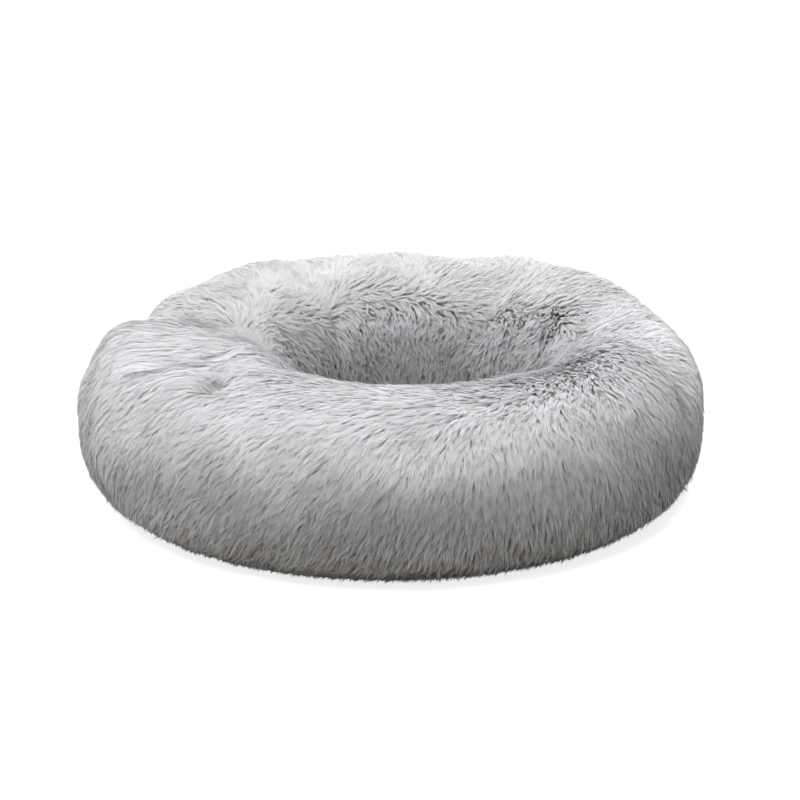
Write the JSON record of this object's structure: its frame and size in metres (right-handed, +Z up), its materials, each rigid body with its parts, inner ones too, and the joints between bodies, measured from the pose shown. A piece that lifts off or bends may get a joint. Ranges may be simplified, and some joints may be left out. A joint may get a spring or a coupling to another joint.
{
  "type": "round pet bed",
  "caption": "Round ring-shaped pet bed: a fat stuffed bolster in long pile round a sunken nest, on a zipped non-slip base.",
  "frame": {"origin": "middle of the footprint, on the floor", "axes": "+Z up; the front of the bed, as pictured, faces -Y; the zip is at the back, at +Y"},
  "size_m": [0.84, 0.84, 0.236],
  "materials": {
    "long_pile": "pale cool grey long-pile plush, taupe towards the roots",
    "liner_cloth": "white non-woven",
    "fibre": "loose white fibre",
    "base_cloth": "dark grey coated plain weave with rubber dots",
    "zip_tape": "grey woven tape",
    "zip_teeth": "grey moulded plastic",
    "zip_metal": "nickel-plated, lightly worn"
  },
  "bodies": {
    "bed": {"bolster_cover_front": "long_pile", "bolster_cover_rear": "long_pile", "seat_cover": "long_pile", "bolster_liner": "liner_cloth", "bolster_filling": "fibre", "seat_liner": "liner_cloth", "seat_filling": "fibre", "base_cloth": "base_cloth", "base_band": "base_cloth", "zip_tape_lower": "zip_tape", "zip_tape_upper": "zip_tape", "zip_teeth_lower": "zip_teeth", "zip_teeth_upper": "zip_teeth", "zip_top_stop_lower": "zip_metal", "zip_top_stop_upper": "zip_metal", "zip_bottom_stop": "zip_metal"},
    "zip_slider": {"zip_slider": "zip_metal"},
    "zip_pull_tab": {"zip_pull_tab": "zip_metal"}
  },
  "joints": [
    {"name": "zip_travel", "type": "hinge", "parent": "bed", "child": "zip_slider", "pos_m": [0, 0, 0.01485], "axis": [0, 0, 1], "range_deg": [0, 61.1], "deforming": ["zip_teeth_lower", "zip_teeth_upper"]},
    {"name": "pull_tab_swing", "type": "hinge", "parent": "zip_slider", "child": "zip_pull_tab", "pos_m": [0.18397, 0.31167, 0.01485], "axis": [0, 0, 1], "range_deg": [0, 170]}
  ]
}
